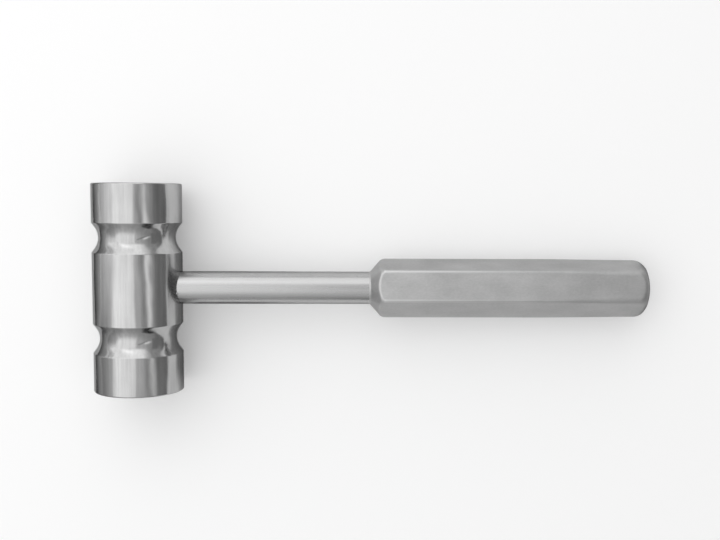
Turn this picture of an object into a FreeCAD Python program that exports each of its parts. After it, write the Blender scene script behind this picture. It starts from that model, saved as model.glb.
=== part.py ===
"""Surgical mallet in stainless steel: a grooved solid head, a plain round shank and a hexagonal grip.

All lengths are in millimetres and all angles in degrees.
The mallet lies on its side as it comes to rest: the head's axis is along Y, the shank runs towards +X,
the head's barrel and the far end of the grip touch the surface at Z = 0.
"""

import FreeCAD
import Part
import Sketcher
import math
import os

OUT_FOLDER = "parts"

# Driving sizes. Each one can be changed by itself.
SIZES = {
    "head_diameter": 30.0,
    "head_length": 70.3,
    "face_chamfer": 0.5,
    "groove_spacing": 34.0,  # from the middle of one relief groove to the middle of the other
    "groove_width": 10.0,
    "groove_depth": 2.2,
    "groove_flank_angle": 36.0,  # between a flank and the head's axis
    "groove_edge_break": 0.4,
    "head_socket_depth": 20.0,  # from the barrel's surface to the end of the straight bore
    "shank_diameter": 11.1,
    "shank_span": 64.05,  # the bare length between head and grip
    "shank_lead_in": 0.8,
    "socket_end_gap": 0.5,  # left below each end of the shank
    "drill_point_angle": 118.0,
    "grip_flats": 17.7,
    "grip_length": 95.95,
    "grip_roll": 9.0,  # the flats are this far from square to the head
    "grip_edge_round": 0.6,
    "grip_socket_depth": 28.0,
    "nose_land": 0.2,  # flat ring round the shank where the nose cone starts
    "nose_angle": 49.0,  # between the nose cone and the grip's axis
    "nose_round": 3.0,
    "end_relief_length": 14.0,
    "end_relief_angle": 1.4,
    "end_round": 4.0,
    "end_crown_radius": 18.0,
    "tool_overrun": 2.0,  # how far a cutting profile stands outside the blank
}

# The places that several pieces share, written once as expressions of the sheet's cells.
HEAD_RADIUS = "Sizes.head_diameter / 2"
SHANK_RADIUS = "Sizes.shank_diameter / 2"
GRIP_START = "(Sizes.head_diameter / 2 + Sizes.shank_span)"
GRIP_TIP = "(Sizes.head_diameter / 2 + Sizes.shank_span + Sizes.grip_length)"
CORNER_RADIUS = "(Sizes.grip_flats / 2 / cos(30 deg))"
HEAD_BORE_END = "(Sizes.head_diameter / 2 - Sizes.head_socket_depth)"
GRIP_BORE_END = "(Sizes.head_diameter / 2 + Sizes.shank_span + Sizes.grip_socket_depth)"


def new_sheet(doc):
    """The spreadsheet of driving sizes, one alias for each."""
    sheet = doc.addObject("Spreadsheet::Sheet", "Sizes")
    for row, (alias, value) in enumerate(SIZES.items(), start=1):
        sheet.set(f"A{row}", alias)
        sheet.set(f"B{row}", str(value))
        sheet.setAlias(f"B{row}", alias)
    doc.recompute()
    return sheet


class Profile:
    """A sketch whose outline is drawn near its final shape and then tied to the sheet."""

    def __init__(self, body, name, plane):
        self.sketch = body.newObject("Sketcher::SketchObject", name)
        role = plane + "_Plane"
        support = next(f for f in body.Origin.OriginFeatures if f.Role == role)
        self.sketch.AttachmentSupport = [(support, "")]
        self.sketch.MapMode = "FlatFace"

    def line(self, start, end):
        ends = [FreeCAD.Vector(*start, 0), FreeCAD.Vector(*end, 0)]
        return self.sketch.addGeometry(Part.LineSegment(*ends), False)

    def arc(self, centre, radius, start, end):
        """An arc drawn anticlockwise from start to end."""
        angles = [math.atan2(p[1] - centre[1], p[0] - centre[0]) for p in (start, end)]
        circle = Part.Circle(FreeCAD.Vector(*centre, 0), FreeCAD.Vector(0, 0, 1), radius)
        return self.sketch.addGeometry(Part.ArcOfCircle(circle, *angles), False)

    def circle(self, radius, construction=False):
        centre = FreeCAD.Vector(0, 0, 0)
        circle = Part.Circle(centre, FreeCAD.Vector(0, 0, 1), radius)
        index = self.sketch.addGeometry(circle, construction)
        self.tie("Coincident", index, 3, -1, 1)
        return index

    def tie(self, kind, *references):
        return self.sketch.addConstraint(Sketcher.Constraint(kind, *references))

    def size(self, kind, references, value, expression):
        """A dimension that follows an expression."""
        index = self.sketch.addConstraint(Sketcher.Constraint(kind, *references, value))
        self.sketch.setExpression(f"Constraints[{index}]", expression)

    def place(self, geometry, end, point, x_expression, y_expression):
        """Holds one end of a line or arc at a place. An expression of None holds it on that axis."""
        if x_expression is None:
            self.tie("PointOnObject", geometry, end, -2)
        else:
            self.size("DistanceX", (-1, 1, geometry, end), point[0], x_expression)
        if y_expression is None:
            self.tie("PointOnObject", geometry, end, -1)
        else:
            self.size("DistanceY", (-1, 1, geometry, end), point[1], y_expression)

    def polygon(self, corners):
        """A closed outline of straight lines. Each corner is its point and its two expressions."""
        points = [corner[0] for corner in corners]
        lines = [self.line(a, b) for a, b in zip(points, points[1:] + points[:1])]
        for this, following in zip(lines, lines[1:] + lines[:1]):
            self.tie("Coincident", this, 2, following, 1)
        for geometry, corner in zip(lines, corners):
            self.place(geometry, 1, *corner)


def solid_feature(body, kind, name, sketch):
    feature = body.newObject("PartDesign::" + kind, name)
    feature.Profile = sketch
    return feature


def turned_cut(body, name, profile, axis):
    """A full turn of the profile about the sketch's H or V axis, taken away from the body."""
    doc = body.Document
    doc.recompute()
    before = body.Shape.Volume
    groove = solid_feature(body, "Groove", name, profile.sketch)
    groove.ReferenceAxis = (profile.sketch, [axis + "_Axis"])
    groove.Angle = 360.0
    doc.recompute()
    if not groove.isValid() or groove.Shape.Volume >= before:
        raise RuntimeError(f"{name} cuts nothing")
    return groove


def edge_names(shape, wanted):
    """The names of the edges for which wanted(edge) holds."""
    return [f"Edge{i}" for i, edge in enumerate(shape.Edges, start=1) if wanted(edge)]


def dress_up(body, kind, name, wanted, size_name, expression):
    """A Fillet or Chamfer on the edges of the body's tip that are wanted."""
    base = body.Tip
    edges = edge_names(base.Shape, wanted)
    if not edges:
        raise RuntimeError(f"{name} finds no edges")
    feature = body.newObject("PartDesign::" + kind, name)
    feature.Base = (base, edges)
    feature.setExpression(size_name, expression)
    body.Document.recompute()
    return feature


def is_circle(edge, radius):
    curve = edge.Curve
    return isinstance(curve, Part.Circle) and abs(curve.Radius - radius) < 1e-4


def bore_profile(body, name, mouth, bore_end, direction, radius, mouth_expression, end_expression):
    """Half the section of a drilled socket. direction is +1 if the drill went towards +X."""
    point_length = radius / math.tan(math.radians(SIZES["drill_point_angle"] / 2))
    apex = bore_end + direction * point_length
    sign = "+" if direction > 0 else "-"
    point_expression = f"{SHANK_RADIUS} / tan(Sizes.drill_point_angle / 2 * 1 deg)"
    profile = Profile(body, name, "XY")
    profile.polygon(
        [
            ((mouth, 0.0), mouth_expression, None),
            ((mouth, radius), mouth_expression, SHANK_RADIUS),
            ((bore_end, radius), end_expression, SHANK_RADIUS),
            ((apex, 0.0), f"{end_expression} {sign} {point_expression}", None),
        ]
    )
    return profile


def rest_on_surface(body):
    """Lays a body down: turned about the head's axis until the grip's end touches, origin below the middle."""
    corner = "(Sizes.grip_flats / 2 / cos(30 deg) - Sizes.grip_edge_round / cos(30 deg))"
    grip_low = f"({corner} * cos((30 - Sizes.grip_roll) * 1 deg) + Sizes.grip_edge_round)"
    round_centre = f"({CORNER_RADIUS} - Sizes.end_round)"
    crown_reach = "(Sizes.end_crown_radius - Sizes.end_round)"
    crown_centre = f"({GRIP_TIP} - Sizes.end_crown_radius)"
    grip_reach = f"({crown_centre} + sqrt({crown_reach} ^ 2 - {round_centre} ^ 2))"
    tilt = f"asin({HEAD_RADIUS} / sqrt({grip_reach} ^ 2 + {grip_low} ^ 2)) - atan({grip_low} / {grip_reach})"
    overall = f"({HEAD_RADIUS} + {crown_centre} * cos({tilt}) + Sizes.end_crown_radius)"
    body.Placement = FreeCAD.Placement(FreeCAD.Vector(), FreeCAD.Rotation(FreeCAD.Vector(0, 1, 0), 1.0))
    body.setExpression("Placement.Rotation.Angle", tilt)
    body.setExpression("Placement.Base.x", f"{HEAD_RADIUS} - {overall} / 2")
    body.setExpression("Placement.Base.z", HEAD_RADIUS)
    body.Document.recompute()


def make_head(doc):
    """The striking head: one turned bar with two relief grooves and a blind socket for the shank."""
    radius = SIZES["head_diameter"] / 2
    half_length = SIZES["head_length"] / 2
    body = doc.addObject("PartDesign::Body", "Head")
    body.Label = "head"

    blank = Profile(body, "HeadBlankSection", "XY")
    blank.polygon(
        [
            ((0.0, -half_length), None, "-Sizes.head_length / 2"),
            ((radius, -half_length), HEAD_RADIUS, "-Sizes.head_length / 2"),
            ((radius, half_length), HEAD_RADIUS, "Sizes.head_length / 2"),
            ((0.0, half_length), None, "Sizes.head_length / 2"),
        ]
    )
    turned = solid_feature(body, "Revolution", "HeadBlank", blank.sketch)
    turned.ReferenceAxis = (blank.sketch, ["V_Axis"])
    turned.Angle = 360.0
    doc.recompute()

    dress_up(body, "Chamfer", "FaceChamfers", lambda e: is_circle(e, radius), "Size", "Sizes.face_chamfer")
    groove = turned_cut(body, "ReliefGroove", groove_profile(body, radius), "V")

    both = body.newObject("PartDesign::Mirrored", "ReliefGrooves")
    both.Originals = [groove]
    both.MirrorPlane = (next(f for f in body.Origin.OriginFeatures if f.Role == "XZ_Plane"), [""])
    body.Tip = both
    doc.recompute()

    def groove_lip(edge):
        return is_circle(edge, radius) and abs(edge.Curve.Center.y) < half_length - 2 * SIZES["face_chamfer"]

    dress_up(body, "Chamfer", "GrooveLips", groove_lip, "Size", "Sizes.groove_edge_break")

    socket = bore_profile(
        body,
        "HeadSocketSection",
        radius + SIZES["tool_overrun"],
        radius - SIZES["head_socket_depth"],
        -1,
        SIZES["shank_diameter"] / 2,
        f"{HEAD_RADIUS} + Sizes.tool_overrun",
        HEAD_BORE_END,
    )
    turned_cut(body, "HeadSocket", socket, "H")
    return body


def groove_profile(body, head_radius):
    """One relief groove: two straight flanks that run into a round bottom."""
    flank = math.radians(SIZES["groove_flank_angle"])
    half_width = SIZES["groove_width"] / 2
    depth = SIZES["groove_depth"]
    middle = SIZES["groove_spacing"] / 2
    outside = head_radius + SIZES["tool_overrun"]
    bottom_radius = (half_width * math.tan(flank) - depth) / (1 / math.cos(flank) - 1)
    centre = (head_radius - depth + bottom_radius, middle)
    touch_x = centre[0] - bottom_radius * math.cos(flank)
    touch_y = bottom_radius * math.sin(flank)

    flank_angle = "Sizes.groove_flank_angle * 1 deg"
    bottom = f"((Sizes.groove_width / 2 * tan({flank_angle}) - Sizes.groove_depth) / (1 / cos({flank_angle}) - 1))"
    outside_x = f"{HEAD_RADIUS} + Sizes.tool_overrun"
    upper_y = "Sizes.groove_spacing / 2 + Sizes.groove_width / 2"
    lower_y = "Sizes.groove_spacing / 2 - Sizes.groove_width / 2"

    upper = (head_radius, middle + half_width)
    lower = (head_radius, middle - half_width)
    upper_touch = (touch_x, middle + touch_y)
    lower_touch = (touch_x, middle - touch_y)
    upper_out = (outside, middle + half_width)
    lower_out = (outside, middle - half_width)

    profile = Profile(body, "GrooveSection", "XY")
    upper_step = profile.line(upper_out, upper)
    upper_flank = profile.line(upper, upper_touch)
    bottom_arc = profile.arc(centre, bottom_radius, upper_touch, lower_touch)
    lower_flank = profile.line(lower_touch, lower)
    lower_step = profile.line(lower, lower_out)
    closing = profile.line(lower_out, upper_out)
    profile.tie("Coincident", upper_step, 2, upper_flank, 1)
    profile.tie("Tangent", upper_flank, 2, bottom_arc, 1)
    profile.tie("Tangent", bottom_arc, 2, lower_flank, 1)
    profile.tie("Coincident", lower_flank, 2, lower_step, 1)
    profile.tie("Coincident", lower_step, 2, closing, 1)
    profile.tie("Coincident", closing, 2, upper_step, 1)
    profile.place(upper_step, 1, upper_out, outside_x, upper_y)
    profile.place(upper_flank, 1, upper, HEAD_RADIUS, upper_y)
    profile.place(lower_step, 1, lower, HEAD_RADIUS, lower_y)
    profile.place(closing, 1, lower_out, outside_x, lower_y)
    profile.size("Radius", (bottom_arc,), bottom_radius, bottom)
    profile.size("DistanceX", (-1, 1, bottom_arc, 3), centre[0], f"{HEAD_RADIUS} - Sizes.groove_depth + {bottom}")
    profile.size("DistanceY", (-1, 1, bottom_arc, 3), centre[1], "Sizes.groove_spacing / 2")
    return profile


def make_shank(doc):
    """The round bar that is fixed in the head's socket at one end and in the grip's at the other."""
    radius = SIZES["shank_diameter"] / 2
    body = doc.addObject("PartDesign::Body", "Shank")
    body.Label = "shank"
    start = f"{HEAD_BORE_END} + Sizes.socket_end_gap"

    section = Profile(body, "ShankSection", "YZ")
    circle = section.circle(radius)
    section.size("Diameter", (circle,), 2 * radius, "Sizes.shank_diameter")
    section.sketch.setExpression("AttachmentOffset.Base.z", start)
    bar = solid_feature(body, "Pad", "ShankBar", section.sketch)
    bar.setExpression("Length", f"{GRIP_BORE_END} - Sizes.socket_end_gap - ({start})")
    doc.recompute()
    dress_up(body, "Chamfer", "ShankLeadIns", lambda e: is_circle(e, radius), "Size", "Sizes.shank_lead_in")
    return body


def make_grip(doc):
    """The handle: hexagonal bar with a turned nose, a turned crowned end and a blind socket."""
    flats = SIZES["grip_flats"]
    corner = flats / 2 / math.cos(math.radians(30))
    body = doc.addObject("PartDesign::Body", "Grip")
    body.Label = "grip"

    section = Profile(body, "GripSection", "YZ")
    rim = section.circle(corner, construction=True)
    # With no roll a flat faces straight up, so the first corner stands 60 degrees from the sketch's first axis.
    angles = [math.radians(60 * k + 60 - SIZES["grip_roll"]) for k in range(6)]
    corners = [(corner * math.cos(a), corner * math.sin(a)) for a in angles]
    sides = [section.line(a, b) for a, b in zip(corners, corners[1:] + corners[:1])]
    for this, following in zip(sides, sides[1:] + sides[:1]):
        section.tie("Coincident", this, 2, following, 1)
        section.tie("PointOnObject", this, 1, rim)
    for side in sides[1:]:
        section.tie("Equal", sides[0], side)
    section.size("Diameter", (rim,), 2 * corner, f"2 * {CORNER_RADIUS}")
    roll = math.radians(180 - SIZES["grip_roll"])
    section.size("Angle", (sides[0],), roll, "(180 - Sizes.grip_roll) * 1 deg")
    section.sketch.setExpression("AttachmentOffset.Base.z", GRIP_START)
    bar = solid_feature(body, "Pad", "GripBar", section.sketch)
    bar.setExpression("Length", "Sizes.grip_length")
    doc.recompute()

    def long_edge(edge):
        return edge.Length > SIZES["grip_length"] * 0.9

    dress_up(body, "Fillet", "LongEdges", long_edge, "Radius", "Sizes.grip_edge_round")
    turned_cut(body, "Nose", nose_profile(body, corner), "H")
    turned_cut(body, "CrownedEnd", end_profile(body, corner), "H")

    start = SIZES["head_diameter"] / 2 + SIZES["shank_span"]
    socket = bore_profile(
        body,
        "GripSocketSection",
        start - SIZES["tool_overrun"],
        start + SIZES["grip_socket_depth"],
        +1,
        SIZES["shank_diameter"] / 2,
        f"{GRIP_START} - Sizes.tool_overrun",
        GRIP_BORE_END,
    )
    turned_cut(body, "GripSocket", socket, "H")
    return body


def nose_profile(body, corner):
    """What the lathe takes off the front of the grip: a cone that rounds over onto the corners."""
    start = SIZES["head_diameter"] / 2 + SIZES["shank_span"]
    face = SIZES["shank_diameter"] / 2 + SIZES["nose_land"]
    slope = math.radians(SIZES["nose_angle"])
    blend = SIZES["nose_round"]
    over = SIZES["tool_overrun"]
    touch_y = corner - blend + blend * math.cos(slope)
    touch_x = start + (touch_y - face) / math.tan(slope)
    centre = (touch_x + blend * math.sin(slope), corner - blend)
    face_y = f"{SHANK_RADIUS} + Sizes.nose_land"
    outside_y = f"{CORNER_RADIUS} + Sizes.tool_overrun"
    before_x = f"{GRIP_START} - Sizes.tool_overrun"

    points = [
        (start, face),
        (touch_x, touch_y),
        (centre[0], corner),
        (centre[0], corner + over),
        (start - over, corner + over),
        (start - over, face),
    ]
    profile = Profile(body, "NoseSection", "XY")
    cone = profile.line(points[0], points[1])
    shoulder = profile.arc(centre, blend, points[2], points[1])
    rise = profile.line(points[2], points[3])
    top = profile.line(points[3], points[4])
    front = profile.line(points[4], points[5])
    under = profile.line(points[5], points[0])
    profile.tie("Tangent", cone, 2, shoulder, 2)
    profile.tie("Coincident", shoulder, 1, rise, 1)
    profile.tie("Coincident", rise, 2, top, 1)
    profile.tie("Coincident", top, 2, front, 1)
    profile.tie("Coincident", front, 2, under, 1)
    profile.tie("Coincident", under, 2, cone, 1)
    profile.tie("Vertical", rise)
    profile.tie("Horizontal", top)
    profile.tie("Vertical", shoulder, 1, shoulder, 3)
    profile.place(cone, 1, points[0], GRIP_START, face_y)
    profile.place(under, 1, points[5], before_x, face_y)
    profile.place(front, 1, points[4], before_x, outside_y)
    profile.size("Angle", (cone,), slope, "Sizes.nose_angle * 1 deg")
    profile.size("Radius", (shoulder,), blend, "Sizes.nose_round")
    profile.size("DistanceY", (-1, 1, shoulder, 1), corner, CORNER_RADIUS)
    return profile


def end_profile(body, corner):
    """What is taken off the far end: a slight relief of the corners, a round and a crowned face."""
    tip = SIZES["head_diameter"] / 2 + SIZES["shank_span"] + SIZES["grip_length"]
    relief = math.radians(SIZES["end_relief_angle"])
    blend = SIZES["end_round"]
    crown = SIZES["end_crown_radius"]
    over = SIZES["tool_overrun"]
    along = (math.cos(relief), -math.sin(relief))
    outward = (math.sin(relief), math.cos(relief))
    relief_start = (tip - SIZES["end_relief_length"], corner)
    crown_centre = (tip - crown, 0.0)
    # The round's centre lies at its radius below the relief and touches the crown from inside.
    from_x = relief_start[0] - blend * outward[0] - crown_centre[0]
    from_y = relief_start[1] - blend * outward[1]
    lean = from_x * along[0] + from_y * along[1]
    gap = from_x**2 + from_y**2 - (crown - blend) ** 2
    reach = -lean + math.sqrt(lean**2 - gap)
    centre = (crown_centre[0] + from_x + reach * along[0], from_y + reach * along[1])
    relief_end = (relief_start[0] + reach * along[0], relief_start[1] + reach * along[1])
    ratio = crown / (crown - blend)
    crown_rim = (crown_centre[0] + ratio * (centre[0] - crown_centre[0]), ratio * centre[1])
    outside_y = f"{CORNER_RADIUS} + Sizes.tool_overrun"
    relief_x = f"{GRIP_TIP} - Sizes.end_relief_length"
    beyond_x = f"{GRIP_TIP} + Sizes.tool_overrun"

    beyond_axis = (tip + over, 0.0)
    beyond_top = (tip + over, corner + over)
    relief_top = (relief_start[0], corner + over)
    profile = Profile(body, "EndSection", "XY")
    relief_line = profile.line(relief_start, relief_end)
    round_arc = profile.arc(centre, blend, crown_rim, relief_end)
    crown_arc = profile.arc(crown_centre, crown, (tip, 0.0), crown_rim)
    axis_line = profile.line((tip, 0.0), beyond_axis)
    back = profile.line(beyond_axis, beyond_top)
    top = profile.line(beyond_top, relief_top)
    drop = profile.line(relief_top, relief_start)
    profile.tie("Tangent", relief_line, 2, round_arc, 2)
    profile.tie("Tangent", round_arc, 1, crown_arc, 2)
    profile.tie("Coincident", crown_arc, 1, axis_line, 1)
    profile.tie("Coincident", axis_line, 2, back, 1)
    profile.tie("Coincident", back, 2, top, 1)
    profile.tie("Coincident", top, 2, drop, 1)
    profile.tie("Coincident", drop, 2, relief_line, 1)
    profile.tie("PointOnObject", crown_arc, 3, -1)
    profile.place(relief_line, 1, relief_start, relief_x, CORNER_RADIUS)
    profile.place(axis_line, 1, (tip, 0.0), GRIP_TIP, None)
    profile.place(axis_line, 2, beyond_axis, beyond_x, None)
    profile.place(back, 2, beyond_top, beyond_x, outside_y)
    profile.place(top, 2, relief_top, relief_x, outside_y)
    profile.size("Angle", (relief_line,), -relief, "-Sizes.end_relief_angle * 1 deg")
    profile.size("Radius", (round_arc,), blend, "Sizes.end_round")
    profile.size("Radius", (crown_arc,), crown, "Sizes.end_crown_radius")
    return profile


def check_document(doc):
    for feature in doc.Objects:
        bad = [state for state in feature.State if state in ("Invalid", "Error")]
        if bad:
            raise RuntimeError(f"{feature.Name} is {bad}")


def write_parts(bodies):
    os.makedirs(OUT_FOLDER, exist_ok=True)
    for body in bodies:
        shape = body.Shape
        if shape.isNull() or not shape.isValid() or len(shape.Solids) != 1:
            raise RuntimeError(f"{body.Label} is not one valid solid")
        shape.exportStep(os.path.join(OUT_FOLDER, body.Label + ".step"))
        box = shape.BoundBox
        print(f"{body.Label}: {shape.Volume:.1f} mm3, {box.XLength:.2f} x {box.YLength:.2f} x {box.ZLength:.2f} mm")


def main():
    doc = FreeCAD.newDocument("SurgicalMallet")
    new_sheet(doc)
    bodies = [make_head(doc), make_shank(doc), make_grip(doc)]
    for body in bodies:
        rest_on_surface(body)
    doc.recompute()
    check_document(doc)
    write_parts(bodies)


main()
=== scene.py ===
import math
import bmesh
import bpy
from mathutils import Matrix, Vector, noise


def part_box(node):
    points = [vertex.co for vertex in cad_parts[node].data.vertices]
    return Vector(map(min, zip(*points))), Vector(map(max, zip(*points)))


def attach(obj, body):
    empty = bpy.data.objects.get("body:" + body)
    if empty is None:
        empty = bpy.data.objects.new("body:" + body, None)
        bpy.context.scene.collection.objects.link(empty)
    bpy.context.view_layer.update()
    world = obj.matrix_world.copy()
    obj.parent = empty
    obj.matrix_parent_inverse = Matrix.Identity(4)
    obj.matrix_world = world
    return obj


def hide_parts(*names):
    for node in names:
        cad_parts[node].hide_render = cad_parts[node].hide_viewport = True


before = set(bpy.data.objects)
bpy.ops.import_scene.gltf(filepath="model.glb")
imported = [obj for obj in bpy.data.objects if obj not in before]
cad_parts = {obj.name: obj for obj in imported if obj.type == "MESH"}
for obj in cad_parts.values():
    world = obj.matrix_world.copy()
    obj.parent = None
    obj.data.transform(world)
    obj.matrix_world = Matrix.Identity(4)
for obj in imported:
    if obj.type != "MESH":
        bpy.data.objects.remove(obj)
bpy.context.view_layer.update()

mm = 0.001
scene = bpy.context.scene

# how the mallet lies: on its head and on the far end of the grip
rest = {"dip": 1.863}
headLow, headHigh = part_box("head")
lieDown = (
    Matrix.Translation((headLow + headHigh) / 2)
    @ Matrix.Rotation(math.radians(rest["dip"]), 4, "Y")
)


shot = {
    "place": (-3.609, 29.478, 323.131),  # mm
    "lean": (-4.8934, -0.0467, 0.3140),  # degrees
    "lens": 45.491,
    "sensor": 36,
    "shift": (-0.005363, 0.013091),
    "clip": (0.01, 20),
}


def makeCamera():
    data = bpy.data.cameras.new("productCamera")
    data.lens = shot["lens"]
    data.sensor_width = shot["sensor"]
    data.shift_x, data.shift_y = shot["shift"]
    data.clip_start, data.clip_end = shot["clip"]
    camera = bpy.data.objects.new("productCamera", data)
    camera.location = Vector(shot["place"]) * mm
    camera.rotation_euler = [math.radians(a) for a in shot["lean"]]
    scene.collection.objects.link(camera)
    scene.camera = camera


makeCamera()
print("camera ready")


def along2d(length, angle):
    return length * Vector((math.cos(angle), math.sin(angle)))


def roundedLine(corners, steps=8):
    # corners are (along, out, round, pieces): round is the corner's radius,
    # pieces divides the straight that follows
    turns = []
    points = [Vector(c[:2]) for c in corners]
    for i, (along, out, radius, pieces) in enumerate(corners):
        here = points[i]
        arc = [here]
        if radius:
            back, ahead = (points[i - 1] - here).normalized(), (points[i + 1] - here).normalized()
            turn = math.pi - back.angle(ahead)
            middle = here + (back + ahead).normalized() * radius / math.cos(turn / 2)
            start = here + back * radius * math.tan(turn / 2) - middle
            way = 1 if start.cross(ahead) > 0 else -1
            arc = []
            for s in range(steps + 1):
                c, d = math.cos(way * turn * s / steps), math.sin(way * turn * s / steps)
                arc.append(middle + Vector((start.x * c - start.y * d, start.x * d + start.y * c)))
        turns.append((arc, pieces))
    line = []
    for i, (arc, pieces) in enumerate(turns):
        line += arc
        if i + 1 < len(turns):
            a, b = arc[-1], turns[i + 1][0][0]
            line += [a.lerp(b, k / pieces) for k in range(1, pieces)]
    return line


def formMesh(form, name):
    mesh = bpy.data.meshes.new(name)
    form.to_mesh(mesh)
    form.free()
    return mesh


def placeObject(mesh, name):
    placed = bpy.data.objects.new(name, mesh)
    scene.collection.objects.link(placed)
    return placed


def skin(name, rings):
    # rings of points joined by faces; a ring of one point closes the form
    form = bmesh.new()
    made = [[form.verts.new(p * mm) for p in ring] for ring in rings]
    for a, b in zip(made, made[1:]):
        count = max(len(a), len(b))
        for k in range(count):
            n = (k + 1) % count
            if len(a) == 1:
                form.faces.new((a[0], b[k], b[n]))
            elif len(b) == 1:
                form.faces.new((a[k], a[n], b[0]))
            else:
                form.faces.new((a[k], a[n], b[n], b[k]))
    bmesh.ops.recalc_face_normals(form, faces=form.faces)
    mesh = formMesh(form, name)
    mesh.shade_smooth()
    return mesh


def turned(name, line, axis, segments):
    onAxis = 1e-6
    rings = []
    for along, out in line:
        angles = [2 * math.pi * k / segments for k in range(segments)] if out > onAxis else [0]
        if axis == "Y":
            rings.append([Vector((out * math.sin(a), along, out * math.cos(a))) for a in angles])
        else:
            rings.append([Vector((along, out * math.cos(a), out * math.sin(a))) for a in angles])
    return skin(name, rings)


def addPiece(mesh, node, material):
    mesh.transform(lieDown)
    piece = placeObject(mesh, mesh.name)
    mesh.materials.clear()
    mesh.materials.append(material)
    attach(piece, "root")
    if node:
        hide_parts(node)
    return piece


def newGroup(name, inputs, outputs):
    group = bpy.data.node_groups.new(name, "ShaderNodeTree")
    for label, kind, value in inputs:
        socket = group.interface.new_socket(name=label, in_out="INPUT", socket_type=kind)
        if value is not None:
            socket.default_value = value
    for label, kind in outputs:
        group.interface.new_socket(name=label, in_out="OUTPUT", socket_type=kind)
    return group, group.nodes.new("NodeGroupInput"), group.nodes.new("NodeGroupOutput")


def newMaterial(name):
    material = bpy.data.materials.new(name)
    material.use_nodes = True
    return material, material.node_tree, material.node_tree.nodes["Principled BSDF"]


def addNode(tree, kind, **values):
    node = tree.nodes.new(kind)
    for key, value in values.items():
        setattr(node, key, value)
    return node


finishNoise = {
    "detail": {"Cloud": 3, "Streak": 2, "Wave": 1},
    "range": (0.3, 0.7),  # where most of the noise lies
}


def makeSteelFinish():
    # what turning, brushing or blasting leaves: clouds and streaks in tone and gloss,
    # shallow waves and grain in the surface
    group, start, end = newGroup(
        "steelFinish",
        [
            ("Vector", "NodeSocketVector", None),
            ("Cloud Scale", "NodeSocketFloat", 100.0),
            ("Cloud Stretch", "NodeSocketVector", (1, 1, 1)),
            ("Streak Scale", "NodeSocketFloat", 1500.0),
            ("Streak Stretch", "NodeSocketVector", (1, 1, 1)),
            ("Streak Share", "NodeSocketFloat", 0.4),
            ("Streak Depth", "NodeSocketFloat", 0.0),
            ("Wave Scale", "NodeSocketFloat", 100.0),
            ("Wave Stretch", "NodeSocketVector", (1, 1, 1)),
            ("Wave Depth", "NodeSocketFloat", 0.0),
            ("Low Tone", "NodeSocketFloat", 0.45),
            ("High Tone", "NodeSocketFloat", 0.5),
            ("Low Roughness", "NodeSocketFloat", 0.2),
            ("High Roughness", "NodeSocketFloat", 0.3),
        ],
        [("Tone", "NodeSocketFloat"), ("Roughness", "NodeSocketFloat"), ("Normal", "NodeSocketVector")],
    )
    link = group.links.new
    grains = {}
    for name, detail in finishNoise["detail"].items():
        stretched = addNode(group, "ShaderNodeVectorMath", operation="MULTIPLY")
        link(start.outputs["Vector"], stretched.inputs[0])
        link(start.outputs[name + " Stretch"], stretched.inputs[1])
        grain = addNode(group, "ShaderNodeTexNoise")
        grain.inputs["Detail"].default_value = detail
        link(stretched.outputs["Vector"], grain.inputs["Vector"])
        link(start.outputs[name + " Scale"], grain.inputs["Scale"])
        grains[name] = grain.outputs["Fac"]
    blend = addNode(group, "ShaderNodeMix", data_type="FLOAT")
    link(start.outputs["Streak Share"], blend.inputs["Factor"])
    link(grains["Cloud"], blend.inputs["A"])
    link(grains["Streak"], blend.inputs["B"])
    for name in ("Tone", "Roughness"):
        spread = addNode(group, "ShaderNodeMapRange")
        spread.inputs["From Min"].default_value = finishNoise["range"][0]
        spread.inputs["From Max"].default_value = finishNoise["range"][1]
        link(blend.outputs["Result"], spread.inputs["Value"])
        link(start.outputs["Low " + name], spread.inputs["To Min"])
        link(start.outputs["High " + name], spread.inputs["To Max"])
        link(spread.outputs["Result"], end.inputs[name])
    streakHeight = addNode(group, "ShaderNodeMath", operation="MULTIPLY")
    height = addNode(group, "ShaderNodeMath", operation="MULTIPLY_ADD")
    bump = addNode(group, "ShaderNodeBump")
    bump.inputs["Strength"].default_value = 1
    bump.inputs["Distance"].default_value = 1
    link(grains["Streak"], streakHeight.inputs[0])
    link(start.outputs["Streak Depth"], streakHeight.inputs[1])
    link(grains["Wave"], height.inputs[0])
    link(start.outputs["Wave Depth"], height.inputs[1])
    link(streakHeight.outputs["Value"], height.inputs[2])
    link(height.outputs["Value"], bump.inputs["Height"])
    link(bump.outputs["Normal"], end.inputs["Normal"])
    return group


steelFinish = makeSteelFinish()


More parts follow.
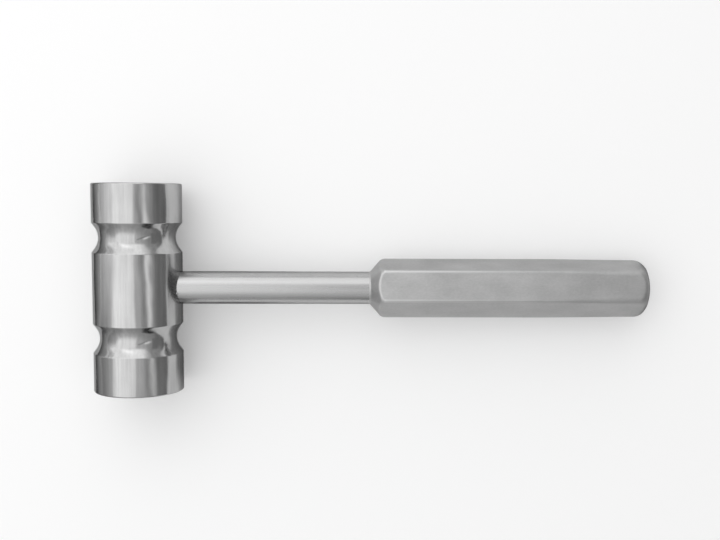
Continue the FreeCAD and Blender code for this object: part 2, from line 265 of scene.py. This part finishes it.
def steelMaterial(name, look):
    material, tree, steel = newMaterial(name)
    link = tree.links.new
    steel.inputs["Metallic"].default_value = 1
    steel.inputs["Specular Tint"].default_value = (*[look["grazingTone"]] * 3, 1)
    place = addNode(tree, "ShaderNodeTexCoord")
    straight = addNode(tree, "ShaderNodeMapping")
    straight.inputs["Rotation"].default_value = (0, math.radians(-rest["dip"]), 0)
    surface = addNode(tree, "ShaderNodeGroup", node_tree=steelFinish)
    for socket, value in look["finish"].items():
        surface.inputs[socket].default_value = value
    surface.inputs["Low Tone"].default_value, surface.inputs["High Tone"].default_value = look["tone"]
    low, high = surface.inputs["Low Roughness"], surface.inputs["High Roughness"]
    low.default_value, high.default_value = look["roughness"]
    link(place.outputs["Object"], straight.inputs["Vector"])
    link(straight.outputs["Vector"], surface.inputs["Vector"])
    link(surface.outputs["Roughness"], steel.inputs["Roughness"])
    link(surface.outputs["Normal"], steel.inputs["Normal"])
    if "wearAndHighlightTone" in look:
        # long edges painted brighter from a mesh attribute: partly wear, partly a painted highlight
        edgeWearAndHighlight = addNode(tree, "ShaderNodeAttribute", attribute_name="edgeWearAndHighlight")
        blend = addNode(tree, "ShaderNodeMix", data_type="FLOAT")
        blend.inputs["B"].default_value = look["wearAndHighlightTone"]
        link(edgeWearAndHighlight.outputs["Fac"], blend.inputs["Factor"])
        link(surface.outputs["Tone"], blend.inputs["A"])
        link(blend.outputs["Result"], steel.inputs["Base Color"])
    else:
        link(surface.outputs["Tone"], steel.inputs["Base Color"])
    return material


# sizes of the pieces are in mm and degrees, with the head's middle at the origin;
# depths in a finish are in metres
head = {
    "radius": 15.0,
    "halfLength": 35.15,
    "faceRound": 0.5,
    "faceBorder": 1.0,
    "grooveMiddle": 17.0,
    "grooveHalfWidth": 5.0,
    "grooveSlope": 36.0,
    "grooveFloorRound": 6.07,
    "lipRound": 0.5,
    "lipBorder": 0.6,
    "boreRadius": 5.55,
    "boreDepth": 20.0,
    "boreOvershoot": 3.0,
    "drillSlope": 59.0,
    "sharpFrom": 40,
    "roundWithin": 2e-7,  # metres
    "segments": 288,
    "boreSegments": 144,
}
polishedLook = {
    "finish": {
        "Cloud Scale": 160,
        "Cloud Stretch": (1, 0.5, 1),
        "Streak Scale": 900,
        "Streak Stretch": (1, 0.05, 1),
        "Streak Share": 0.55,
        "Streak Depth": 0.006 * mm,
        "Wave Scale": 160,
        "Wave Stretch": (1, 0.45, 1),
        "Wave Depth": 0.24 * mm,
    },
    "tone": (0.39, 0.51),
    "roughness": (0.10, 0.20),
    "grazingTone": 0.45,
}


def headLine():
    p = head
    r, middle, wide, end = p["radius"], p["grooveMiddle"], p["grooveHalfWidth"], p["halfLength"]
    bottom = r - wide * math.tan(math.radians(p["grooveSlope"]))
    half = roundedLine([
        (0, r, 0, 24),
        (middle - wide - p["lipBorder"], r, 0, 1),
        (middle - wide, r, p["lipRound"], 2),
        (middle, bottom, p["grooveFloorRound"], 2),
        (middle + wide, r, p["lipRound"], 1),
        (middle + wide + p["lipBorder"], r, 0, 10),
        (end - p["faceBorder"], r, 0, 1),
        (end, r, p["faceRound"], 1),
        (end, r - p["faceBorder"], 0, 6),
        (end, 0, 0, 1),
    ], steps=10)
    return [Vector((-q.x, q.y)) for q in reversed(half[1:])] + half


def makeHead(material):
    p = head
    blank = placeObject(turned("malletHead", headLine(), "Y", p["segments"]), "headBlank")
    floor = p["radius"] - p["boreDepth"]
    mouth = p["radius"] + p["boreOvershoot"]
    bore = roundedLine([
        (floor - p["boreRadius"] / math.tan(math.radians(p["drillSlope"])), 0, 0, 1),
        (floor, p["boreRadius"], 0, 1),
        (mouth, p["boreRadius"], 0, 1),
        (mouth, 0, 0, 1),
    ])
    cutter = placeObject(turned("boreCutter", bore, "X", p["boreSegments"]), "boreCutter")
    cut = blank.modifiers.new("bore", "BOOLEAN")
    cut.operation, cut.solver, cut.object = "DIFFERENCE", "EXACT", cutter
    bpy.context.view_layer.update()
    dug = blank.evaluated_get(bpy.context.evaluated_depsgraph_get())
    bored = bpy.data.meshes.new_from_object(dug)
    bored.name = "malletHead"
    bpy.data.objects.remove(blank)
    bpy.data.objects.remove(cutter)
    bored.shade_smooth()
    bored.set_sharp_from_angle(angle=math.radians(p["sharpFrom"]))
    # the cut leaves long faces on the round sides, so these get the true round's normals
    normals = [Vector((0, 0, 0))] * len(bored.loops)
    for face in bored.polygons:
        corners = [bored.vertices[v].co for v in face.vertices]
        around = [Vector((c.x, 0, c.z)) for c in corners]
        if all(abs(a.length - p["radius"] * mm) < p["roundWithin"] for a in around):
            for i, a in zip(face.loop_indices, around):
                normals[i] = a.normalized()
    bored.normals_split_custom_set(normals)
    return addPiece(bored, "head", material)


shank = {
    "radius": 5.55,
    "span": 64.05,
    "inHead": 19.5,
    "inGrip": 27.5,
    "leadIn": 0.8,
    "sharpFrom": 30,
    "segments": 144,
}
satinLook = {
    "finish": {
        "Cloud Scale": 150,
        "Cloud Stretch": (0.4, 1, 1),
        "Streak Scale": 3000,
        "Streak Stretch": (0.008, 1, 1),
        "Streak Share": 0.6,
        "Streak Depth": 0.0004 * mm,
    },
    "tone": (0.44, 0.48),
    "roughness": (0.22, 0.32),
    "grazingTone": 0.45,
}


def makeShank(material):
    p = shank
    start = head["radius"] - p["inHead"]
    end = head["radius"] + p["span"] + p["inGrip"]
    line = roundedLine([
        (start, 0, 0, 1),
        (start, p["radius"] - p["leadIn"], 0, 1),
        (start + p["leadIn"], p["radius"], 0, 60),
        (end - p["leadIn"], p["radius"], 0, 1),
        (end, p["radius"] - p["leadIn"], 0, 1),
        (end, 0, 0, 1),
    ])
    mesh = turned("shankRod", line, "X", p["segments"])
    mesh.set_sharp_from_angle(angle=math.radians(p["sharpFrom"]))
    return addPiece(mesh, "shank", material)


# spot of braze at the edge of the joint in the head
jointBead = {"across": -1.6, "radius": 0.45, "flatness": 0.8, "lumps": 0.2, "lumpScale": 3}


def makeJointBead(material):
    p = jointBead
    up = math.sqrt(shank["radius"] ** 2 - p["across"] ** 2)
    out = math.sqrt(head["radius"] ** 2 - up ** 2)
    form = bmesh.new()
    bmesh.ops.create_icosphere(form, subdivisions=4, radius=p["radius"])
    for v in form.verts:
        v.co *= 1 + p["lumps"] * noise.noise(v.co * p["lumpScale"])
        v.co.z *= p["flatness"]
        v.co = (v.co + Vector((out, p["across"], up))) * mm
    mesh = formMesh(form, "jointBead")
    mesh.shade_smooth()
    return addPiece(mesh, None, material)


grip = {
    "flats": 17.7,
    "length": 95.95,
    "roll": 9.0,
    "edgeRound": 0.8,
    "endEdgeRound": 2.6,
    "roundingFrom": 0.6,  # share of the length
    "noseLand": 0.2,
    "noseSlope": 49.0,
    "noseRound": 3.0,
    "noseFillet": 0.9,
    "noseEdge": 0.65,
    "reliefLength": 14.0,
    "reliefSlope": 1.4,
    "endRound": 4.0,
    "crownRadius": 18.0,
    "endEdge": 1.2,
    "boreDepth": 28.0,
    # the brighter long edges, partly wear and partly a painted highlight: where they start, their
    # blend, their reach along the grip and what stays at the far end
    "wearAndHighlightFrom": 9.93,
    "wearAndHighlightBlend": 0.06,
    "wearAndHighlightReach": 0.62,  # share of the length
    "wearAndHighlightLeast": 0.06,
    "sharpFrom": 38,
}
# how finely each stretch of the grip is divided
gripSteps = {
    "flat": 28,
    "bore": 6,
    "fillet": 8,
    "nose": 10,
    "noseEdge": 8,
    "side": 60,
    "endEdge": 10,
    "end": 24,
    "curve": 60,
    "relief": 40,
}
blastedLook = {
    "finish": {
        "Cloud Scale": 150,
        "Cloud Stretch": (0.5, 1, 1),
        "Streak Scale": 2200,
        "Streak Stretch": (0.5, 1, 1),
        "Streak Share": 0.35,
        "Streak Depth": 0.01 * mm,
    },
    "tone": (0.40, 0.54),
    "roughness": (0.40, 0.52),
    "grazingTone": 0.6,
    # tone of the brighter long edges: partly wear, partly a painted highlight
    "wearAndHighlightTone": 0.62,
}
sixth = math.radians(60)
gripStart = head["radius"] + shank["span"]
gripFlat = grip["flats"] / 2
gripCorner = gripFlat / math.cos(sixth / 2)


def hexAngles():
    # directions of the grid lines around the bar, closer together at its long edges
    pieces = gripSteps["flat"]
    hexagon = [along2d(gripCorner, math.radians(60 * k + 60 - grip["roll"])) for k in range(6)]
    seam = (hexagon[-1] + hexagon[0]) / 2
    corners = [(*c, grip["edgeRound"], pieces) for c in hexagon]
    corners[-1] = (*hexagon[-1], grip["edgeRound"], pieces // 2)
    closed = [(*seam, 0, pieces // 2), *corners, (*seam, 0, 1)]
    return [math.atan2(q.y, q.x) for q in roundedLine(closed)[:-1]]


def hexRadius(angle, edgeRound):
    # distance from the axis to the hexagon with rounded edges
    off = (angle + math.radians(grip["roll"]) + sixth / 2) % sixth - sixth / 2
    middle = (gripFlat - edgeRound) / math.cos(sixth / 2)
    if sixth / 2 - abs(off) > math.atan2(middle * math.sin(sixth / 2), gripFlat):
        return middle * math.cos(off) + math.sqrt(edgeRound ** 2 - (middle * math.sin(off)) ** 2)
    return gripFlat / math.cos(sixth / 2 - abs(off))


def nosePoint(out):
    # where the turned nose stands at a given radius
    p = grip
    face = shank["radius"] + p["noseLand"]
    slope = math.radians(p["noseSlope"])
    low = gripCorner - p["noseRound"]
    touch = low + p["noseRound"] * math.cos(slope)
    along = gripStart + (min(out, touch) - face) / math.tan(slope)
    if out > touch:
        rise = math.sqrt(p["noseRound"] ** 2 - (out - low) ** 2)
        along += p["noseRound"] * math.sin(slope) - rise
    return Vector((along, out))


def noseFillet():
    # hollow round between the shank's surface and the nose
    p = grip
    slope = math.radians(p["noseSlope"])
    reach = p["noseFillet"] * math.tan(slope / 2)
    corner = nosePoint(shank["radius"])
    hollow = Vector((corner.x - reach, shank["radius"] + p["noseFillet"]))
    turns = [slope * k / gripSteps["fillet"] for k in range(gripSteps["fillet"] + 1)]
    return [hollow + p["noseFillet"] * Vector((math.sin(a), -math.cos(a))) for a in turns]


def endCurve():
    # the turned far end from the axis outwards, as closely spaced points
    p = grip
    count = gripSteps["curve"]
    tip = gripStart + p["length"]
    slope = math.radians(p["reliefSlope"])
    along = Vector((math.cos(slope), -math.sin(slope)))
    outward = Vector((math.sin(slope), math.cos(slope)))
    first = Vector((tip - p["reliefLength"], gripCorner))
    crown = Vector((tip - p["crownRadius"], 0))
    off = first - p["endRound"] * outward - crown
    lean = off.dot(along)
    inner = p["crownRadius"] - p["endRound"]
    reach = -lean + math.sqrt(lean ** 2 - off.length_squared + inner ** 2)
    middle = crown + off + reach * along
    rim = math.atan2(middle.y, middle.x - crown.x)
    top = math.pi / 2 - slope
    points = [crown + along2d(p["crownRadius"], rim * k / count) for k in range(count + 1)]
    for k in range(1, count + 1):
        points.append(middle + along2d(p["endRound"], rim + (top - rim) * k / count))
    last = points[-1]
    count = gripSteps["relief"]
    return points + [last.lerp(first, k / count) for k in range(1, count + 1)]


def cutAtHeight(curve, out):
    # the part of the end curve from the axis up to a given radius
    tiny = 1e-9
    crossing = len(curve) - 2
    if curve[-1].y >= out:
        crossing = next(k for k in range(len(curve) - 1) if curve[k + 1].y >= out)
    a, b = curve[crossing], curve[crossing + 1]
    share = (out - a.y) / max(b.y - a.y, tiny)
    return curve[: crossing + 1] + [a.lerp(b, min(share, 1))]


def walk(run):
    walked = [0]
    for a, b in zip(run, run[1:]):
        walked.append(walked[-1] + (b - a).length)
    return walked


def pointAt(run, walked, distance):
    tiny = 1e-12
    k = max(i for i in range(len(run)) if walked[i] <= distance + tiny)
    if k == len(run) - 1:
        return run[-1]
    return run[k].lerp(run[k + 1], (distance - walked[k]) / (walked[k + 1] - walked[k]))


def softenEdge(before, edge, after, steps):
    # a rounded turn between two points, pulled towards the edge
    turn = []
    for s in range(steps + 1):
        share = s / steps
        turn.append(before.lerp(edge, share).lerp(edge.lerp(after, share), share))
    return turn


def gripLine(angle, curve):
    # one long line over the grip, from the bottom of its bore round the nose to the far end's middle
    p, steps = grip, gripSteps
    bore, depth = shank["radius"], p["boreDepth"]
    drillPoint = bore / math.tan(math.radians(head["drillSlope"]))
    line = [Vector((gripStart + depth + drillPoint, 0))]
    for k in range(steps["bore"] + 1):
        line.append(Vector((gripStart + depth * (1 - k / steps["bore"]), bore)))
    line += noseFillet()
    first = line[-1].y
    nose = nosePoint(hexRadius(angle, p["edgeRound"]))
    noseTurn = p["noseEdge"] * math.sin(math.radians(p["noseSlope"]))
    before = nosePoint(nose.y - noseTurn)
    for k in range(1, steps["nose"]):
        line.append(nosePoint(first + (before.y - first) * k / steps["nose"]))
    afterNose = nose + Vector((p["noseEdge"], 0))
    line += softenEdge(before, nose, afterNose, steps["noseEdge"])

    run = cutAtHeight(curve, hexRadius(angle, p["endEdgeRound"]))
    walked = walk(run)
    edge = run[-1]
    beforeEnd = edge - Vector((p["endEdge"], 0))
    for k in range(1, steps["side"]):
        share = k / steps["side"]
        eased = min(max((share - p["roundingFrom"]) / (1 - p["roundingFrom"]), 0), 1)
        eased *= eased * (3 - 2 * eased)
        edgeRound = p["edgeRound"] + (p["endEdgeRound"] - p["edgeRound"]) * eased
        along = afterNose.x + (beforeEnd.x - afterNose.x) * share
        line.append(Vector((along, hexRadius(angle, edgeRound))))
    turnEnd = walked[-1] - p["endEdge"]
    line += softenEdge(beforeEnd, edge, pointAt(run, walked, turnEnd), steps["endEdge"])
    for k in range(1, steps["end"]):
        line.append(pointAt(run, walked, turnEnd * (1 - k / steps["end"])))
    return line + [curve[0]]


def paintEdgeWearAndHighlight(mesh):
    # long edges painted brighter, most near the nose: partly wear, partly a painted highlight
    p = grip
    edgeWearAndHighlight = mesh.attributes.new("edgeWearAndHighlight", "FLOAT", "POINT")
    for v in mesh.vertices:
        out = math.hypot(v.co.y, v.co.z) / mm
        share = (v.co.x / mm - gripStart) / p["length"]
        onEdge = min(max((out - p["wearAndHighlightFrom"]) / p["wearAndHighlightBlend"], 0), 1)
        edgeWearAndHighlight.data[v.index].value = onEdge * max(1 - share / p["wearAndHighlightReach"], p["wearAndHighlightLeast"])


def makeGrip(material):
    curve = endCurve()
    lines = [(angle, gripLine(angle, curve)) for angle in hexAngles()]
    rings = []
    for j in range(len(lines[0][1])):
        ring = []
        for angle, line in lines:
            along, out = line[j]
            ring.append(Vector((along, out * math.cos(angle), out * math.sin(angle))))
        rings.append(ring)
    rings[0], rings[-1] = rings[0][:1], rings[-1][:1]
    mesh = skin("hexGrip", rings)
    paintEdgeWearAndHighlight(mesh)
    mesh.set_sharp_from_angle(angle=math.radians(grip["sharpFrom"]))
    piece = addPiece(mesh, "grip", material)
    even = piece.modifiers.new("evenNormals", "WEIGHTED_NORMAL")
    even.keep_sharp = True
    return piece


makeHead(steelMaterial("polishedSteel", polishedLook))
print("head turned and bored")
satinSteel = steelMaterial("satinSteel", satinLook)
makeShank(satinSteel)
makeJointBead(satinSteel)
print("shank made")
makeGrip(steelMaterial("blastedSteel", blastedLook))
print("grip made")


studio = {
    "floorColour": 0.82,
    "floorRadius": 10,
    "floorSegments": 96,
    "floorLift": 0.15,
    "brightSide": (-0.72, 0.2, 0.66),  # the room is palest here
    # (place, tone) from the darkest side of the room to the palest
    "roomTones": [
        (0.14, 0.23), (0.23, 0.25), (0.32, 0.4), (0.4, 0.42), (0.455, 0.44),
        (0.55, 0.54), (0.625, 0.66), (0.725, 0.76), (0.8, 0.74), (0.86, 0.72),
        (0.91, 0.84), (0.96, 1.03), (0.985, 1.21),
    ],
}


def panelPlan(aim, azimuth, height, distance, size, fade, glow, twist=0):
    # metres and degrees: azimuth runs from +Y towards +X;
    # fades are shares of the panel at its left, right, lower and upper side,
    # and glow goes from its lower to its upper side
    return {
        "aim": aim,
        "azimuth": azimuth,
        "height": height,
        "distance": distance,
        "size": size,
        "fade": fade,
        "glow": glow,
        "twist": twist,
    }


softBoxes = {
    "leftBox": panelPlan(
        (-0.08, 0, 0.015), -90, 66, 0.9, (2.2, 1.02),
        fade=(0.4, 0.42, 0.2, 0.05), glow=(1.62, 1.3),
    ),
    "backBox": panelPlan(
        (-0.05, 0, 0.01), -12, 38, 1.0, (1.9, 1.25),
        fade=(0.35, 0.25, 0.1, 0.3), glow=(1.45, 1.6),
    ),
    "sideBox": panelPlan(
        (-0.08, 0, 0.015), -56, 24, 0.8, (0.7, 0.5),
        fade=(0.3, 0.3, 0.3, 0.3), glow=(1.5, 1.4),
    ),
    "keyBox": panelPlan(
        (-0.05, 0, 0.01), -30, 42, 0.85, (0.85, 0.5),
        fade=(0.45, 0.45, 0.45, 0.45), glow=(2.0, 2.0),
    ),
    "stripBox": panelPlan(
        (0.003, -0.087, -0.047), 90, 53, 0.9, (0.6, 0.19), twist=54,
        fade=(0.65, 0.2, 0.8, 0.15), glow=(1.45, 1.5),
    ),
}
# grey cards seen only as reflections; most stand just outside the picture, and the last two lie flat on
# the floor beside the mallet as painted shade in its reflections
cards = {
    "cameraGap": panelPlan(
        (0.017, -0.087, -0.02), 90, 70, 0.8, (0.65, 0.12), twist=54,
        fade=(0.55, 0.2, 0.3, 0.3), glow=(0.36, 0.36),
    ),
    "leftCard": panelPlan(
        (-0.122, 0, 0.012), -90, 0, 0, (0.4, 0.024),
        fade=(0.01, 0.01, 0.01, 0.01), glow=(0.03, 0.55),
    ),
    "frontCard": panelPlan(
        (-0.2, -0.23, 0.0585), -90, 0, 0, (0.5, 0.115),
        fade=(0.14, 0.1, 0.01, 0.2), glow=(0.24, 0.72),
    ),
    "frontRightCard": panelPlan(
        (-0.08, 0, 0.015), 160, 9, 0.5, (0.2, 0.13),
        fade=(0.2, 0.2, 0.2, 0.2), glow=(0.03, 0.03),
    ),
    "rightCard": panelPlan(
        (0.09, 0, 0.015), 90, 51, 0.173, (0.4, 0.12),
        fade=(0.2, 0.2, 0.2, 0.2), glow=(0.26, 0.26),
    ),
    # a dark sheet lying on the floor right of the head, seen only in reflections: painted shade
    # standing in for the floor's shadow there
    "paintedShadeRightSheet": panelPlan(
        (-0.044, -0.009, 0.0005), 90, 89.5, 0, (0.07, 0.042),
        fade=(0.2, 0.25, 0.5, 0.03), glow=(0.36, 0.25),
    ),
    # a dark sheet lying on the floor past the grip's end, seen only in reflections: painted shade on
    # the floor that the grip's end mirrors
    "paintedShadeEndSheet": panelPlan(
        (0.124, 0, 0.0005), 90, 89.5, 0, (0.09, 0.056),
        fade=(0.3, 0.3, 0.4, 0.05), glow=(0.3, 0.12),
    ),
}


def makeFloor():
    form = bmesh.new()
    bmesh.ops.create_circle(
        form, cap_ends=True, segments=studio["floorSegments"], radius=studio["floorRadius"]
    )
    floor = placeObject(formMesh(form, "paleFloor"), "paleFloor")
    material, tree, paper = newMaterial("palePaper")
    link = tree.links.new
    paper.inputs["Base Color"].default_value = (*[studio["floorColour"]] * 3, 1)
    paper.inputs["Roughness"].default_value = 1
    paper.inputs["Specular IOR Level"].default_value = 0
    paper.inputs["Emission Color"].default_value = (1, 1, 1, 1)
    # a little paler to the camera and in mirrors, with the shadow kept
    path = addNode(tree, "ShaderNodeLightPath")
    seen = addNode(tree, "ShaderNodeMath", operation="MAXIMUM")
    seenAll = addNode(tree, "ShaderNodeMath", operation="MAXIMUM")
    lift = addNode(tree, "ShaderNodeMath", operation="MULTIPLY")
    lift.inputs[1].default_value = studio["floorLift"]
    link(path.outputs["Is Camera Ray"], seen.inputs[0])
    link(path.outputs["Is Glossy Ray"], seen.inputs[1])
    link(seen.outputs[0], seenAll.inputs[0])
    link(path.outputs["Is Transmission Ray"], seenAll.inputs[1])
    link(seenAll.outputs[0], lift.inputs[0])
    link(lift.outputs[0], paper.inputs["Emission Strength"])
    floor.data.materials.append(material)


def makePanelCloth():
    # soft sides, and a glow that changes from the lower to the upper side
    group, start, end = newGroup(
        "panelCloth",
        [
            ("Vector", "NodeSocketVector", None),
            ("Size", "NodeSocketVector", (1, 1, 1)),
            ("Left Fade", "NodeSocketFloat", 0.1),
            ("Right Fade", "NodeSocketFloat", 0.1),
            ("Lower Fade", "NodeSocketFloat", 0.1),
            ("Upper Fade", "NodeSocketFloat", 0.1),
            ("Lower Glow", "NodeSocketFloat", 1.0),
            ("Upper Glow", "NodeSocketFloat", 1.0),
        ],
        [("Mask", "NodeSocketFloat"), ("Glow", "NodeSocketFloat")],
    )
    link = group.links.new
    share = addNode(group, "ShaderNodeVectorMath", operation="DIVIDE")
    fromLow = addNode(group, "ShaderNodeVectorMath", operation="ADD")
    fromLow.inputs[1].default_value = (0.5, 0.5, 0.5)
    fromHigh = addNode(group, "ShaderNodeVectorMath", operation="SUBTRACT")
    fromHigh.inputs[0].default_value = (1, 1, 1)
    low = addNode(group, "ShaderNodeSeparateXYZ")
    high = addNode(group, "ShaderNodeSeparateXYZ")
    link(start.outputs["Vector"], share.inputs[0])
    link(start.outputs["Size"], share.inputs[1])
    link(share.outputs["Vector"], fromLow.inputs[0])
    link(fromLow.outputs["Vector"], fromHigh.inputs[1])
    link(fromLow.outputs["Vector"], low.inputs["Vector"])
    link(fromHigh.outputs["Vector"], high.inputs["Vector"])
    mask = None
    for name, parts, axis in (
        ("Left", low, "X"), ("Right", high, "X"), ("Lower", low, "Y"), ("Upper", high, "Y"),
    ):
        edge = addNode(group, "ShaderNodeMapRange", interpolation_type="SMOOTHSTEP")
        link(parts.outputs[axis], edge.inputs["Value"])
        link(start.outputs[name + " Fade"], edge.inputs["From Max"])
        if mask:
            both = addNode(group, "ShaderNodeMath", operation="MULTIPLY")
            link(mask, both.inputs[0])
            link(edge.outputs["Result"], both.inputs[1])
            mask = both.outputs["Value"]
        else:
            mask = edge.outputs["Result"]
    level = addNode(group, "ShaderNodeMapRange")
    link(low.outputs["Y"], level.inputs["Value"])
    link(start.outputs["Lower Glow"], level.inputs["To Min"])
    link(start.outputs["Upper Glow"], level.inputs["To Max"])
    link(mask, end.inputs["Mask"])
    link(level.outputs["Result"], end.inputs["Glow"])
    return group


panelCloth = makePanelCloth()


def turnPanel(panel, plan):
    a, h = math.radians(plan["azimuth"]), math.radians(plan["height"])
    direction = Vector((math.sin(a) * math.cos(h), math.cos(a) * math.cos(h), math.sin(h)))
    across = Vector((0, 0, 1)).cross(direction).normalized()
    turn = Matrix((across, direction.cross(across), direction)).transposed().to_4x4()
    place = Vector(plan["aim"]) + direction * plan["distance"]
    twist = Matrix.Rotation(math.radians(plan["twist"]), 4, "Z")
    panel.matrix_world = Matrix.Translation(place) @ turn @ twist


def makePanel(name, plan):
    form = bmesh.new()
    bmesh.ops.create_grid(form, x_segments=1, y_segments=1, size=0.5)
    bmesh.ops.scale(form, vec=(*plan["size"], 1), verts=form.verts)
    panel = placeObject(formMesh(form, name), name)
    turnPanel(panel, plan)
    panel.visible_camera = False
    material, tree, light = newMaterial(name + "Cloth")
    link = tree.links.new
    light.inputs["Base Color"].default_value = (0, 0, 0, 1)
    light.inputs["Specular IOR Level"].default_value = 0
    light.inputs["Emission Strength"].default_value = 1
    cloth = addNode(tree, "ShaderNodeGroup", node_tree=panelCloth)
    cloth.inputs["Size"].default_value = (*plan["size"], 1)
    for side, fade in zip(("Left", "Right", "Lower", "Upper"), plan["fade"]):
        cloth.inputs[side + " Fade"].default_value = fade
    for side, glow in zip(("Lower", "Upper"), plan["glow"]):
        cloth.inputs[side + " Glow"].default_value = glow
    link(addNode(tree, "ShaderNodeTexCoord").outputs["Object"], cloth.inputs["Vector"])
    link(cloth.outputs["Glow"], light.inputs["Emission Color"])
    link(cloth.outputs["Mask"], light.inputs["Alpha"])
    panel.data.materials.append(material)
    return panel


def makeRoom():
    world = bpy.data.worlds.new("studioRoom")
    world.use_nodes = True
    scene.world = world
    tree = world.node_tree
    link = tree.links.new
    side = addNode(tree, "ShaderNodeVectorMath", operation="DOT_PRODUCT")
    side.inputs[1].default_value = Vector(studio["brightSide"]).normalized()
    half = addNode(tree, "ShaderNodeMapRange")
    half.inputs["From Min"].default_value = -1
    tones = addNode(tree, "ShaderNodeValToRGB")
    steps = studio["roomTones"]
    marks = tones.color_ramp.elements
    marks[0].position, marks[1].position = steps[0][0], steps[-1][0]
    for place, _ in steps[1:-1]:
        marks.new(place)
    for mark, (_, tone) in zip(marks, steps):
        mark.color = (tone, tone, tone, 1)
    link(addNode(tree, "ShaderNodeTexCoord").outputs["Generated"], side.inputs[0])
    link(side.outputs["Value"], half.inputs["Value"])
    link(half.outputs["Result"], tones.inputs["Fac"])
    link(tones.outputs["Color"], tree.nodes["Background"].inputs["Color"])


makeFloor()
for name, plan in softBoxes.items():
    makePanel(name, plan)
for name, plan in cards.items():
    card = makePanel(name, plan)
    card.visible_diffuse = False
    card.visible_shadow = False
makeRoom()
scene.view_settings.view_transform = "Standard"
print("studio ready")
